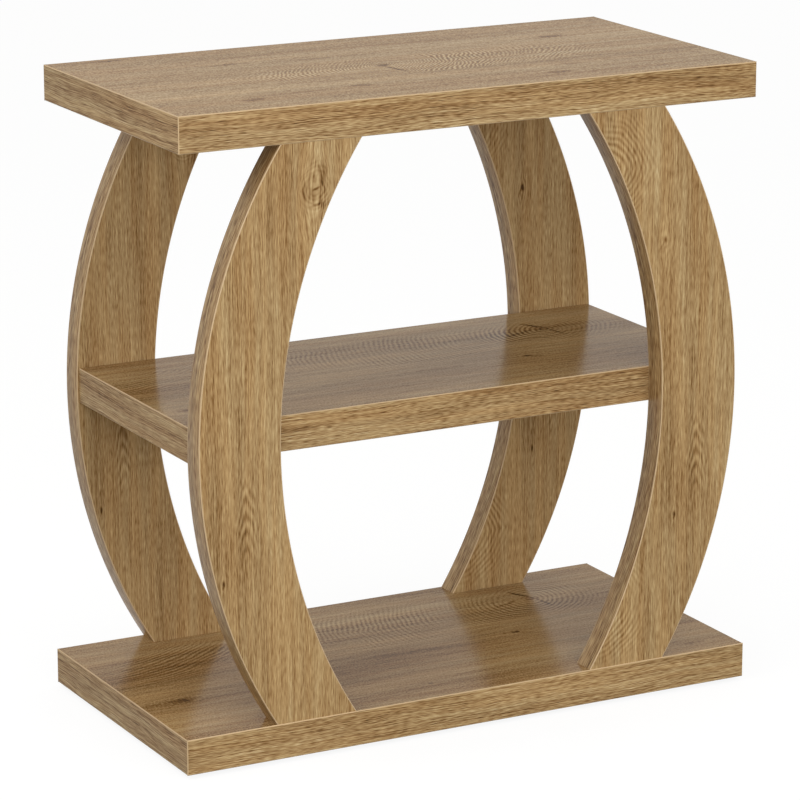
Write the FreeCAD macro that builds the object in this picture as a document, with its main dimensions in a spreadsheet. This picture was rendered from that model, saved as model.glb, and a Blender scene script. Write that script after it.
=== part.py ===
import FreeCAD, Part
import os
import Sketcher
from FreeCAD import Placement, Rotation, Vector

# Tiered side table: a top, a shelf and a base carried by four bowed legs.
# Millimetres, +Z up, X along the table, Y across it with the front at -Y.
# The origin is on the floor, under the middle of the table.

SIZES = (
    ("board_length", 600, "length of the top and of the base"),
    ("board_depth", 300, "depth of the top and of the base"),
    ("top_thickness", 34, "thickness of the top"),
    ("shelf_thickness", 34, "thickness of the shelf"),
    ("base_thickness", 34, "thickness of the base"),
    ("leg_height", 542, "from the base up to the top"),
    ("leg_thickness", 25, "thickness of a leg, front to back"),
    ("leg_width", 82, "width of a leg, measured level"),
    ("leg_radius", 500, "radius of both edges of a leg"),
    ("leg_end_inset", 16, "how far the widest point of a leg stops short of the ends of the boards"),
    ("leg_widest", 265, "height above the base at which a leg reaches furthest out"),
    ("leg_inset", 1, "how far the legs stand behind the front and back edges of the boards"),
    ("shelf_rise", 252, "from the base up to the underside of the shelf"),
    ("shelf_end_inset", 2, "how far the ends of the shelf stop short of the widest legs"),
    ("band_thickness", 1, "thickness of the bands on all edges"),
    ("arris", 0.8, "chamfer along the outer edges of the bands"),
    ("bore_clearance", 0.1, "room round a fitting in its bore, on the radius"),
    ("bore_spare", 1, "room past the end of a fitting in a blind bore"),
    ("fitting_spacing", 32, "between the outer two fittings of each leg joint"),
    ("dowel_diameter", 8, "diameter of a wooden dowel"),
    ("dowel_length", 30, "length of a wooden dowel"),
    ("dowel_face_depth", 12, "length of a dowel that sits in the face of a board or leg"),
    ("dowel_chamfer", 1, "chamfer on the ends of a dowel"),
    ("cam_diameter", 15, "diameter of a cam lock"),
    ("cam_setback", 34, "from the face of a joint to the axis of its cam lock"),
    ("cam_floor", 5, "length of a cam lock beyond the axis of its bolt"),
    ("cam_recess", 0.3, "how far a cam lock lies below the face that it is bored into"),
    ("cam_rim_gap", 0.5, "gap between the rim of a cam lock and the shank of its bolt"),
    ("driver_length", 9, "length of the driver cross in the face of a cam lock"),
    ("driver_width", 2, "width of the driver cross in the face of a cam lock"),
    ("driver_depth", 3.5, "depth of the driver cross in the face of a cam lock"),
    ("bolt_thread_diameter", 5, "diameter of a cam bolt's thread"),
    ("bolt_thread_length", 11, "length of a cam bolt's thread"),
    ("bolt_shank_diameter", 7, "diameter of a cam bolt's shank"),
    ("bolt_neck_diameter", 4, "diameter of a cam bolt's neck"),
    ("bolt_head_diameter", 6.6, "diameter of a cam bolt's head"),
    ("bolt_head_height", 4, "height of a cam bolt's head"),
    ("screw_length", 70, "length of a connecting screw"),
    ("screw_sink", 1, "how far a connecting screw's head lies inside the base"),
    ("screw_head_diameter", 10, "diameter of a connecting screw's head"),
    ("screw_head_height", 4, "height of a connecting screw's head"),
    ("screw_shank_diameter", 7, "diameter of a connecting screw in the base"),
    ("screw_core_diameter", 5, "diameter of a connecting screw in the leg"),
    ("screw_tip_length", 6, "length of a connecting screw's tapered tip"),
    ("screw_tip_diameter", 2, "diameter of a connecting screw's tip"),
    ("socket_width", 4, "width across the flats of a connecting screw's hexagon socket"),
    ("socket_depth", 3, "depth of a connecting screw's hexagon socket"),
    ("glide_diameter", 24, "diameter of a glide where it meets the base"),
    ("glide_foot_diameter", 20, "diameter of a glide where it meets the floor"),
    ("glide_height", 4, "height of a glide"),
    ("glide_end_inset", 50, "from the ends of the base to the middle of a glide"),
    ("glide_edge_inset", 45, "from the front and back of the base to the middle of a glide"),
    ("nail_diameter", 2, "diameter of a glide's nail"),
    ("nail_length", 16, "length of a glide's nail, head and all"),
    ("nail_tip_length", 3, "length of the point of a glide's nail"),
    ("nail_head_diameter", 6, "diameter of the head of a glide's nail"),
    ("nail_head_height", 1, "height of the head of a glide's nail"),
    ("nail_sink", 1.2, "how far the head of a glide's nail lies above the floor"),
)
SIDES = {"left": -1, "right": 1}
RANKS = {"front": -1, "back": 1}
FULL_TURN = 360
HALF_TURN = 180

doc = FreeCAD.newDocument("TieredSideTable")
sheet = doc.addObject("Spreadsheet::Sheet", "Sizes")
for row, (alias, size, meaning) in enumerate(SIZES, start=1):
    sheet.set(f"A{row}", meaning)
    sheet.set(f"B{row}", str(size))
    sheet.setAlias(f"B{row}", alias)
doc.recompute()

# Heights above the floor and distances from the middle, as expressions of the sizes
BASE_UNDERSIDE = "Sizes.glide_height"
BASE_FACE = f"({BASE_UNDERSIDE} + Sizes.base_thickness)"
SHELF_UNDERSIDE = f"({BASE_FACE} + Sizes.shelf_rise)"
TOP_UNDERSIDE = f"({BASE_FACE} + Sizes.leg_height)"
LEG_REACH = "(Sizes.board_length / 2 - Sizes.leg_end_inset)"
SHELF_LENGTH = f"(2 * ({LEG_REACH} - Sizes.shelf_end_inset))"
LEG_MIDDLE_Y = "(Sizes.board_depth / 2 - Sizes.leg_inset - Sizes.leg_thickness / 2)"
SHELF_EDGE_Y = "(Sizes.board_depth / 2 - Sizes.leg_inset - Sizes.leg_thickness)"
OUTER_CENTRE_X = f"({LEG_REACH} - Sizes.leg_radius)"
INNER_CENTRE_X = f"({LEG_REACH} - Sizes.leg_width - Sizes.leg_radius)"
ARRIS = "min(Sizes.arris; 0.8 * Sizes.band_thickness)"


def number(expression):
    """The number that an expression of the sizes comes to."""
    return float(sheet.evalExpression(expression))


def leg_middle(height):
    """Expression for how far out the middle of a leg is at a height above its foot."""
    bow = f"sqrt(Sizes.leg_radius ^ 2 - ({height} - Sizes.leg_widest) ^ 2)"
    return f"({OUTER_CENTRE_X} + {bow} - Sizes.leg_width / 2)"


# Where the fittings of each leg stand, out from the middle of the table. A leg leans, so
# at its foot and head they stand in the middle of the leg half way along their own length.
SCREW_GRIP = "(Sizes.screw_length + Sizes.screw_sink - Sizes.base_thickness)"
SHELF_LEVEL = "(Sizes.shelf_rise + Sizes.shelf_thickness / 2)"
FOOT_X = leg_middle(f"{SCREW_GRIP} / 2")
HEAD_X = leg_middle("(Sizes.leg_height - Sizes.cam_setback / 2)")
SHELF_X = leg_middle(SHELF_LEVEL)


def beside(middle):
    """Expressions for the two places half a fitting spacing either side of a middle."""
    return [f"({middle} {sign} Sizes.fitting_spacing / 2)" for sign in "-+"]


def bored(diameter):
    """Expression for the bore that a fitting of this diameter goes into."""
    return f"({diameter} + 2 * Sizes.bore_clearance)"


# Sketches and features

def new_body(label):
    body = doc.addObject("PartDesign::Body", label)
    body.Label = label
    return body


def new_sketch(body, name, role, lift="0"):
    """A sketch on one of the body's own planes, lifted along the plane's normal."""
    sketch = body.newObject("Sketcher::SketchObject", name)
    plane = next(feature for feature in body.Origin.OriginFeatures if feature.Role == role)
    sketch.AttachmentSupport = (plane, [""])
    sketch.MapMode = "FlatFace"
    sketch.setExpression("AttachmentOffset.Base.z", lift)
    doc.recompute()
    return sketch


def bind(sketch, constraint, expression):
    """Adds a constraint whose value follows an expression of the sizes."""
    index = sketch.addConstraint(constraint)
    sketch.setExpression(f"Constraints[{index}]", expression)


def pin_across(sketch, geometry, point, expression):
    """Holds a point at a signed distance across the sketch from its origin."""
    constraint = Sketcher.Constraint("DistanceX", -1, 1, geometry, point, number(expression))
    bind(sketch, constraint, expression)


def pin_up(sketch, geometry, point, expression):
    """Holds a point at a signed distance up the sketch from its origin."""
    constraint = Sketcher.Constraint("DistanceY", -1, 1, geometry, point, number(expression))
    bind(sketch, constraint, expression)


def draw_rectangle(sketch, left, right, bottom, top):
    """A rectangle between two distances across the sketch and two up it."""
    x0, x1, y0, y1 = (number(edge) for edge in (left, right, bottom, top))
    corners = [Vector(x0, y0), Vector(x1, y0), Vector(x1, y1), Vector(x0, y1)]
    for start, end in zip(corners, corners[1:] + corners[:1]):
        sketch.addGeometry(Part.LineSegment(start, end))
    for line in range(4):
        sketch.addConstraint(Sketcher.Constraint("Coincident", line, 2, (line + 1) % 4, 1))
    for line, direction in enumerate(("Horizontal", "Vertical", "Horizontal", "Vertical")):
        sketch.addConstraint(Sketcher.Constraint(direction, line))
    pin_across(sketch, 0, 1, left)
    pin_up(sketch, 0, 1, bottom)
    pin_across(sketch, 2, 1, right)
    pin_up(sketch, 2, 1, top)


def draw_circles(sketch, spots, diameter):
    """Equal circles, each at a place across and up the sketch."""
    radius = number(diameter) / 2
    for across, up in spots:
        centre = Vector(number(across), number(up))
        circle = sketch.addGeometry(Part.Circle(centre, Vector(0, 0, 1), radius))
        pin_across(sketch, circle, 3, across)
        pin_up(sketch, circle, 3, up)
        bind(sketch, Sketcher.Constraint("Diameter", circle, 2 * radius), diameter)


def draw_bow(sketch, side, outer, inner):
    """The outline between two arcs, cut level at the foot and at the head of a leg.

    Each arc is given by how far out its centre is and by its radius.
    """
    middle = number("Sizes.leg_widest")
    ends = []
    for centre, radius in (outer, inner):
        x, r = side * number(centre), number(radius)
        foot = x + side * (r ** 2 - middle ** 2) ** 0.5
        head = x + side * (r ** 2 - (number("Sizes.leg_height") - middle) ** 2) ** 0.5
        ends.append((Vector(foot, 0), Vector(head, number("Sizes.leg_height"))))
        arc = Part.Arc(ends[-1][0], Vector(x + side * r, middle), ends[-1][1])
        sketch.addGeometry(arc)
    sketch.addGeometry(Part.LineSegment(ends[0][0], ends[1][0]))
    sketch.addGeometry(Part.LineSegment(ends[0][1], ends[1][1]))
    foot_point, head_point = (1, 2) if side > 0 else (2, 1)
    for arc in (0, 1):
        sketch.addConstraint(Sketcher.Constraint("Coincident", arc, foot_point, 2, arc + 1))
        sketch.addConstraint(Sketcher.Constraint("Coincident", arc, head_point, 3, arc + 1))
    for line in (2, 3):
        sketch.addConstraint(Sketcher.Constraint("Horizontal", line))
    sketch.addConstraint(Sketcher.Constraint("PointOnObject", 2, 1, -1))
    pin_up(sketch, 3, 1, "Sizes.leg_height")
    for arc, (centre, radius) in enumerate((outer, inner)):
        pin_across(sketch, arc, 3, f"{side} * {centre}")
        pin_up(sketch, arc, 3, "Sizes.leg_widest")
        bind(sketch, Sketcher.Constraint("Radius", arc, number(radius)), radius)


def pad(body, sketch, length, both_ways=False):
    feature = body.newObject("PartDesign::Pad", "Pad")
    feature.Profile = sketch
    feature.setExpression("Length", length)
    feature.SideType = "Symmetric" if both_ways else "One side"
    doc.recompute()
    return feature


def pocket(body, sketch, depth, along_normal):
    """Cuts a sketch into the body, along its plane's normal or against it."""
    volume = body.Shape.Volume
    feature = body.newObject("PartDesign::Pocket", "Pocket")
    feature.Profile = sketch
    feature.setExpression("Length", depth)
    feature.Reversed = along_normal
    doc.recompute()
    if not body.Shape.Volume < volume:
        raise RuntimeError(f"{body.Label}: {sketch.Label} cuts nothing")


def bore(body, name, role, lift, spots, diameter, depth, along_normal):
    """Round bores of one size and depth, from one plane of the body."""
    sketch = new_sketch(body, name, role, lift)
    draw_circles(sketch, spots, diameter)
    pocket(body, sketch, depth, along_normal)


def chamfer(body, feature, size, chosen):
    """Chamfers the edges of a feature that a test on the edge picks out."""
    names = [f"Edge{i}" for i, edge in enumerate(feature.Shape.Edges, start=1) if chosen(edge)]
    result = body.newObject("PartDesign::Chamfer", "Chamfer")
    result.Base = (feature, names)
    result.setExpression("Size", size)
    doc.recompute()


def place(item, x, y, z, rotation=Rotation()):
    """Puts an object at a place that follows expressions of the sizes."""
    item.Placement = Placement(Vector(number(x), number(y), number(z)), rotation)
    for axis, expression in zip("xyz", (x, y, z)):
        item.setExpression(f"Placement.Base.{axis}", expression)


# Boards: a faced core with a band on each of its four edges

def board_core(label, length, depth, thickness, underside):
    """The faced core, inside the bands, with its underside at z = 0 of its own frame."""
    body = new_body(label)
    sketch = new_sketch(body, "Outline", "XY_Plane")
    half_length = f"({length} / 2 - Sizes.band_thickness)"
    half_depth = f"({depth} / 2 - Sizes.band_thickness)"
    draw_rectangle(sketch, f"-{half_length}", half_length, f"-{half_depth}", half_depth)
    pad(body, sketch, thickness)
    place(body, "0", "0", underside)
    return body


def board_bands(board, length, depth, thickness, underside):
    """Bands on the ends, then bands on the front and back that cover the ends of those."""
    bands = {}
    for rank, sign in RANKS.items():
        body = new_body(f"{board}_band_{rank}")
        sketch = new_sketch(body, "Outline", "XY_Plane")
        outside, inside = f"{sign} * {depth} / 2", f"{sign} * ({depth} / 2 - Sizes.band_thickness)"
        low, high = (outside, inside) if sign < 0 else (inside, outside)
        draw_rectangle(sketch, f"-{length} / 2", f"{length} / 2", low, high)
        strip = pad(body, sketch, thickness)
        face_y = number(outside)
        chamfer(body, strip, ARRIS, lambda edge: is_on(edge, "y", face_y))
        place(body, "0", "0", underside)
        bands[rank] = body
    for side, sign in SIDES.items():
        body = new_body(f"{board}_band_{side}")
        sketch = new_sketch(body, "Outline", "XY_Plane")
        outside, inside = f"{sign} * {length} / 2", f"{sign} * ({length} / 2 - Sizes.band_thickness)"
        low, high = (outside, inside) if sign < 0 else (inside, outside)
        half_depth = f"({depth} / 2 - Sizes.band_thickness)"
        draw_rectangle(sketch, low, high, f"-{half_depth}", half_depth)
        strip = pad(body, sketch, thickness)
        face_x = number(outside)
        chamfer(body, strip, ARRIS, lambda edge: is_on(edge, "x", face_x) and is_level(edge))
        place(body, "0", "0", underside)
        bands[side] = body
    return bands


def is_on(edge, axis, position):
    """Whether both ends of an edge lie on a plane across an axis."""
    return all(abs(getattr(vertex.Point, axis) - position) < 1e-6 for vertex in edge.Vertexes)


def is_level(edge):
    """Whether both ends of an edge are at one height."""
    heights = [vertex.Point.z for vertex in edge.Vertexes]
    return abs(heights[0] - heights[-1]) < 1e-6


def mirrored_spots(across, up):
    """The same place in all four quarters of a board."""
    quarters = [(side, rank) for side in SIDES.values() for rank in RANKS.values()]
    return [(f"{side} * {across}", f"{rank} * {up}") for side, rank in quarters]


top_sizes = ("Sizes.board_length", "Sizes.board_depth", "Sizes.top_thickness", TOP_UNDERSIDE)
shelf_sizes = (SHELF_LENGTH, f"(2 * {SHELF_EDGE_Y})", "Sizes.shelf_thickness", SHELF_UNDERSIDE)
base_sizes = ("Sizes.board_length", "Sizes.board_depth", "Sizes.base_thickness", BASE_UNDERSIDE)
top_board = board_core("top_board", *top_sizes)
shelf_board = board_core("shelf_board", *shelf_sizes)
base_board = board_core("base_board", *base_sizes)
top_bands = board_bands("top", *top_sizes)
shelf_bands = board_bands("shelf", *shelf_sizes)
base_bands = board_bands("base", *base_sizes)

# Bores for the fittings in the boards
DOWEL_BORE = bored("Sizes.dowel_diameter")
DOWEL_FACE_BORE = "(Sizes.dowel_face_depth + Sizes.bore_spare)"
DOWEL_END_BORE = "(Sizes.dowel_length - Sizes.dowel_face_depth + Sizes.bore_spare)"
THREAD_BORE = bored("Sizes.bolt_thread_diameter")
THREAD_DEPTH = "(Sizes.bolt_thread_length + Sizes.bore_spare)"
SHANK_BORE = bored("Sizes.bolt_shank_diameter")
CAM_BORE = bored("Sizes.cam_diameter")

bore(top_board, "BoltBores", "XY_Plane", "0", mirrored_spots(HEAD_X, LEG_MIDDLE_Y),
     THREAD_BORE, THREAD_DEPTH, True)
head_dowel_spots = [spot for x in beside(HEAD_X) for spot in mirrored_spots(x, LEG_MIDDLE_Y)]
bore(top_board, "DowelBores", "XY_Plane", "0", head_dowel_spots, DOWEL_BORE, DOWEL_FACE_BORE, True)

screw_spots = [spot for x in beside(FOOT_X) for spot in mirrored_spots(x, LEG_MIDDLE_Y)]
glide_x = "(Sizes.board_length / 2 - Sizes.glide_end_inset)"
glide_y = "(Sizes.board_depth / 2 - Sizes.glide_edge_inset)"
nail_grip = "(Sizes.nail_length + Sizes.nail_sink - Sizes.glide_height)"
bore(base_board, "ScrewBores", "XY_Plane", "0", screw_spots,
     bored("Sizes.screw_shank_diameter"), "Sizes.base_thickness", True)
bore(base_board, "ScrewHeadBores", "XY_Plane", "0", screw_spots, bored("Sizes.screw_head_diameter"),
     "(Sizes.screw_sink + Sizes.screw_head_height)", True)
bore(base_board, "DowelBores", "XY_Plane", "Sizes.base_thickness", mirrored_spots(FOOT_X, LEG_MIDDLE_Y),
     DOWEL_BORE, DOWEL_FACE_BORE, False)
bore(base_board, "NailBores", "XY_Plane", "0", mirrored_spots(glide_x, glide_y),
     bored("Sizes.nail_diameter"), f"({nail_grip} + Sizes.bore_spare)", True)

shelf_cam_y = f"({SHELF_EDGE_Y} - Sizes.cam_setback)"
shelf_cam_spots = [spot for x in beside(SHELF_X) for spot in mirrored_spots(x, shelf_cam_y)]
bore(shelf_board, "CamBores", "XY_Plane", "0", shelf_cam_spots,
     CAM_BORE, "(Sizes.shelf_thickness / 2 + Sizes.cam_floor)", True)
shelf_axis = "Sizes.shelf_thickness / 2"
shelf_bolt_spots = [(f"{side} * {x}", shelf_axis) for side in SIDES.values() for x in beside(SHELF_X)]
shelf_dowel_spots = [(f"{side} * {SHELF_X}", shelf_axis) for side in SIDES.values()]
for rank, sign in RANKS.items():
    core_edge = f"{-sign} * ({SHELF_EDGE_Y} - Sizes.band_thickness)"
    band_edge = f"{-sign} * {SHELF_EDGE_Y}"
    inwards = sign > 0
    bore(shelf_board, f"BoltBores{rank}", "XZ_Plane", core_edge, shelf_bolt_spots,
         SHANK_BORE, "(Sizes.cam_setback - Sizes.band_thickness)", inwards)
    bore(shelf_board, f"DowelBores{rank}", "XZ_Plane", core_edge, shelf_dowel_spots,
         DOWEL_BORE, f"({DOWEL_END_BORE} - Sizes.band_thickness)", inwards)
    bore(shelf_bands[rank], "BoltHoles", "XZ_Plane", band_edge, shelf_bolt_spots,
         SHANK_BORE, "Sizes.band_thickness", inwards)
    bore(shelf_bands[rank], "DowelHoles", "XZ_Plane", band_edge, shelf_dowel_spots,
         DOWEL_BORE, "Sizes.band_thickness", inwards)


# Legs: a bowed core with a band on its outer and inner edges

def bowed_body(label, side, rank, outer, inner):
    """A plate between two arcs, standing where its leg stands on the base."""
    body = new_body(label)
    sketch = new_sketch(body, "Outline", "XZ_Plane")
    draw_bow(sketch, side, outer, inner)
    plate = pad(body, sketch, "Sizes.leg_thickness", both_ways=True)
    place(body, "0", f"{rank} * {LEG_MIDDLE_Y}", BASE_FACE)
    return body, plate


def is_along_arc(edge, radius):
    """Whether an edge is an arc of a given radius."""
    return isinstance(edge.Curve, Part.Circle) and abs(edge.Curve.Radius - radius) < 1e-6


OUTER_FACE = (OUTER_CENTRE_X, "Sizes.leg_radius")
OUTER_GLUE = (OUTER_CENTRE_X, "(Sizes.leg_radius - Sizes.band_thickness)")
INNER_FACE = (INNER_CENTRE_X, "Sizes.leg_radius")
INNER_GLUE = (INNER_CENTRE_X, "(Sizes.leg_radius + Sizes.band_thickness)")
LEG_EDGES = {"outer": (OUTER_FACE, OUTER_GLUE), "inner": (INNER_GLUE, INNER_FACE)}
cam_level = "(Sizes.leg_height - Sizes.cam_setback)"
half_leg = "Sizes.leg_thickness / 2"
legs = []
leg_bands = []
for rank_name, rank in RANKS.items():
    for side_name, side in SIDES.items():
        name = f"leg_{rank_name}_{side_name}"
        leg, plate = bowed_body(name, side, rank, OUTER_GLUE, INNER_GLUE)
        foot_screws = [(f"{side} * {x}", "0") for x in beside(FOOT_X)]
        bore(leg, "ScrewBores", "XY_Plane", "0", foot_screws,
             bored("Sizes.screw_core_diameter"), f"({SCREW_GRIP} + Sizes.bore_spare)", True)
        bore(leg, "FootDowelBore", "XY_Plane", "0", [(f"{side} * {FOOT_X}", "0")],
             DOWEL_BORE, DOWEL_END_BORE, True)
        bore(leg, "BoltBore", "XY_Plane", "Sizes.leg_height", [(f"{side} * {HEAD_X}", "0")],
             SHANK_BORE, "Sizes.cam_setback", False)
        head_dowels = [(f"{side} * {x}", "0") for x in beside(HEAD_X)]
        bore(leg, "HeadDowelBores", "XY_Plane", "Sizes.leg_height", head_dowels,
             DOWEL_BORE, DOWEL_END_BORE, False)
        bore(leg, "CamBore", "XZ_Plane", f"-{half_leg}", [(f"{side} * {HEAD_X}", cam_level)],
             CAM_BORE, f"({half_leg} + Sizes.cam_floor)", True)
        shelf_face = f"{rank} * {half_leg}"
        shelf_bolts = [(f"{side} * {x}", SHELF_LEVEL) for x in beside(SHELF_X)]
        bore(leg, "ShelfBoltBores", "XZ_Plane", shelf_face, shelf_bolts,
             THREAD_BORE, THREAD_DEPTH, rank < 0)
        bore(leg, "ShelfDowelBore", "XZ_Plane", shelf_face, [(f"{side} * {SHELF_X}", SHELF_LEVEL)],
             DOWEL_BORE, DOWEL_FACE_BORE, rank < 0)
        legs.append(leg)
        for edge_name, (outer, inner) in LEG_EDGES.items():
            band, strip = bowed_body(f"{name}_{edge_name}_band", side, rank, outer, inner)
            shown_radius = number("Sizes.leg_radius")
            chamfer(band, strip, ARRIS, lambda edge: is_along_arc(edge, shown_radius))
            leg_bands.append(band)


# Fittings: one of each is drawn in its own frame, and copies of it are placed in the table

def fitting_set(label, fitting, spots):
    """Copies of one fitting at a list of places, as one named set."""
    copies = []
    for x, y, z, rotation in spots:
        copy = doc.addObject("App::Link", f"{label}_copy")
        copy.LinkedObject = fitting
        place(copy, x, y, z, rotation)
        copies.append(copy)
    group = doc.addObject("Part::Compound", label)
    group.Label = label
    group.Links = copies
    return group


def facing(x_direction, z_direction):
    """The turn that takes a fitting's own X and Z to these directions."""
    return Rotation(x_direction, z_direction.cross(x_direction), z_direction, "ZXY")


def cylinder(name, diameter, height, lift):
    """An upright cylinder that starts at a height."""
    item = doc.addObject("Part::Cylinder", name)
    item.setExpression("Radius", f"{diameter} / 2")
    item.setExpression("Height", height)
    place(item, "0", "0", lift)
    return item


def cone(name, low_diameter, high_diameter, height, lift):
    """An upright cone that starts at a height."""
    item = doc.addObject("Part::Cone", name)
    item.setExpression("Radius1", f"{low_diameter} / 2")
    item.setExpression("Radius2", f"{high_diameter} / 2")
    item.setExpression("Height", height)
    place(item, "0", "0", lift)
    return item


def fused(name, pieces):
    item = doc.addObject("Part::MultiFuse", name)
    item.Shapes = pieces
    return item


def cut_away(name, solid, tool):
    item = doc.addObject("Part::Cut", name)
    item.Base = solid
    item.Tool = tool
    return item


def make_dowel():
    """A chamfered dowel whose joint face is at z = 0, its shorter part below."""
    body = new_body("dowel")
    sketch = new_sketch(body, "Outline", "XY_Plane", "-Sizes.dowel_face_depth")
    draw_circles(sketch, [("0", "0")], "Sizes.dowel_diameter")
    rod = pad(body, sketch, "Sizes.dowel_length")
    chamfer(body, rod, "Sizes.dowel_chamfer", lambda edge: len(edge.Vertexes) == 1)
    return body


def make_bolt():
    """A cam bolt: thread below z = 0, then shank, neck and head up to the axis of the cam."""
    head_start = "(Sizes.cam_setback - Sizes.bolt_head_height / 2)"
    neck_start = "(Sizes.cam_setback - Sizes.cam_diameter / 2 - Sizes.cam_rim_gap)"
    thread = cylinder("BoltThread", "Sizes.bolt_thread_diameter", "Sizes.bolt_thread_length",
                      "-Sizes.bolt_thread_length")
    shank = cylinder("BoltShank", "Sizes.bolt_shank_diameter", neck_start, "0")
    neck = cylinder("BoltNeck", "Sizes.bolt_neck_diameter", f"{head_start} - {neck_start}", neck_start)
    head = cylinder("BoltHead", "Sizes.bolt_head_diameter", "Sizes.bolt_head_height", head_start)
    return fused("Bolt", [thread, shank, neck, head])


def make_cam(label, axis_depth):
    """A cam lock with its face near z = 0, which takes the bolt from +X.

    A round chamber at the bolt's axis holds the head, a slot round half of the rim lets
    the neck slide as the cam turns, and a hole at the end of the slot lets the head in.
    """
    body = new_body(label)
    length = f"({axis_depth} + Sizes.cam_floor - Sizes.cam_recess)"
    sketch = new_sketch(body, "Outline", "XY_Plane", "-Sizes.cam_recess")
    draw_circles(sketch, [("0", "0")], "Sizes.cam_diameter")
    drum = pad(body, sketch, length)
    drum.Reversed = True
    doc.recompute()
    for name, long_side, short_side in (("DriverX", "length", "width"), ("DriverY", "width", "length")):
        across, up = f"Sizes.driver_{long_side} / 2", f"Sizes.driver_{short_side} / 2"
        cross = new_sketch(body, name, "XY_Plane", "-Sizes.cam_recess")
        draw_rectangle(cross, f"-{across}", across, f"-{up}", up)
        pocket(body, cross, "Sizes.driver_depth", False)
    head_bore = bored("Sizes.bolt_head_diameter")
    neck_bore = bored("Sizes.bolt_neck_diameter")
    past_rim = "Sizes.cam_diameter"
    half_head = "sqrt(Sizes.bolt_head_height ^ 2 + Sizes.bolt_head_diameter ^ 2) / 2"
    chamber = f"({half_head} + Sizes.bore_clearance)"
    groove(body, "Chamber", chamber, axis_depth, bored(head_bore), FULL_TURN)
    groove(body, "NeckSlot", past_rim, axis_depth, neck_bore, HALF_TURN)
    bore(body, "HeadHole", "XZ_Plane", "0", [("0", f"-{axis_depth}")], head_bore, past_rim, True)
    return body


def groove(body, name, radius, axis_depth, opening, angle):
    """Turns a slot of this opening out of a cam lock, evenly about the bolt's direction."""
    volume = body.Shape.Volume
    profile = new_sketch(body, name, "XZ_Plane")
    low, high = (f"(-{axis_depth} {sign} {opening} / 2)" for sign in "-+")
    draw_rectangle(profile, "0", radius, low, high)
    feature = body.newObject("PartDesign::Groove", f"{name}Groove")
    feature.Profile = profile
    feature.ReferenceAxis = (profile, ["V_Axis"])
    feature.Angle = angle
    feature.Midplane = True
    doc.recompute()
    if not body.Shape.Volume < volume:
        raise RuntimeError(f"{body.Label}: {name} cuts nothing")


def make_screw():
    """A connecting screw with its head just inside the underside of the base, at z = 0."""
    head_end = "(Sizes.screw_sink + Sizes.screw_head_height)"
    core_start = "Sizes.base_thickness"
    tip_start = "(Sizes.screw_sink + Sizes.screw_length - Sizes.screw_tip_length)"
    head = cylinder("ScrewHead", "Sizes.screw_head_diameter", "Sizes.screw_head_height",
                    "Sizes.screw_sink")
    shank = cylinder("ScrewShank", "Sizes.screw_shank_diameter", f"{core_start} - {head_end}", head_end)
    core = cylinder("ScrewCore", "Sizes.screw_core_diameter", f"{tip_start} - {core_start}", core_start)
    tip = cone("ScrewTip", "Sizes.screw_core_diameter", "Sizes.screw_tip_diameter",
               "Sizes.screw_tip_length", tip_start)
    socket = doc.addObject("Part::Prism", "ScrewSocket")
    socket.Polygon = 6
    socket.setExpression("Circumradius", "Sizes.socket_width / sqrt(3)")
    socket.setExpression("Height", "Sizes.socket_depth")
    place(socket, "0", "0", "Sizes.screw_sink")
    return cut_away("Screw", fused("ScrewBlank", [head, shank, core, tip]), socket)


def make_glide():
    """A round plastic glide standing on the floor, with a stepped hole for its nail."""
    disc = cone("GlideDisc", "Sizes.glide_foot_diameter", "Sizes.glide_diameter",
                "Sizes.glide_height", "0")
    recess = cylinder("GlideRecess", bored("Sizes.nail_head_diameter"),
                      "Sizes.nail_sink + Sizes.nail_head_height", "0")
    hole = cylinder("GlideHole", bored("Sizes.nail_diameter"), "Sizes.glide_height", "0")
    return cut_away("Glide", disc, fused("GlideBore", [recess, hole]))


def make_nail():
    """The nail of a glide, its head held inside the glide above the floor."""
    head_end = "(Sizes.nail_sink + Sizes.nail_head_height)"
    tip_start = "(Sizes.nail_sink + Sizes.nail_length - Sizes.nail_tip_length)"
    head = cylinder("NailHead", "Sizes.nail_head_diameter", "Sizes.nail_head_height", "Sizes.nail_sink")
    shank = cylinder("NailShank", "Sizes.nail_diameter", f"{tip_start} - {head_end}", head_end)
    tip = cone("NailTip", "Sizes.nail_diameter", "0", "Sizes.nail_tip_length", tip_start)
    return fused("Nail", [head, shank, tip])


X, Y, Z = Vector(1, 0, 0), Vector(0, 1, 0), Vector(0, 0, 1)
UPRIGHT = Rotation()
HANGING = facing(X, -Z)
SHELF_AXIS = f"({SHELF_UNDERSIDE} + Sizes.shelf_thickness / 2)"
CAM_LEVEL = f"({TOP_UNDERSIDE} - Sizes.cam_setback)"


def at_corners(across, depth, level, rotation):
    """One fitting at each of the four legs, all turned alike."""
    return [(x, y, level, rotation) for x, y in mirrored_spots(across, depth)]


def at_shelf(across, level):
    """One fitting in each leg at the shelf, its long part pointing into the shelf."""
    spots = []
    for side in SIDES.values():
        for rank in RANKS.values():
            x, y = f"{side} * {across}", f"{rank} * {SHELF_EDGE_Y}"
            spots.append((x, y, level, facing(X, -rank * Y)))
    return spots


def shelf_cams_at(across):
    """One cam lock under the shelf at each leg, turned to take the bolt from that leg."""
    spots = []
    for side in SIDES.values():
        for rank in RANKS.values():
            x, y = f"{side} * {across}", f"{rank} * {shelf_cam_y}"
            spots.append((x, y, SHELF_UNDERSIDE, facing(rank * Y, -Z)))
    return spots


dowel = make_dowel()
bolt = make_bolt()
leg_cam = make_cam("leg_cam", half_leg)
shelf_cam = make_cam("shelf_cam", shelf_axis)
screw = make_screw()
glide = make_glide()
nail = make_nail()

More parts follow.
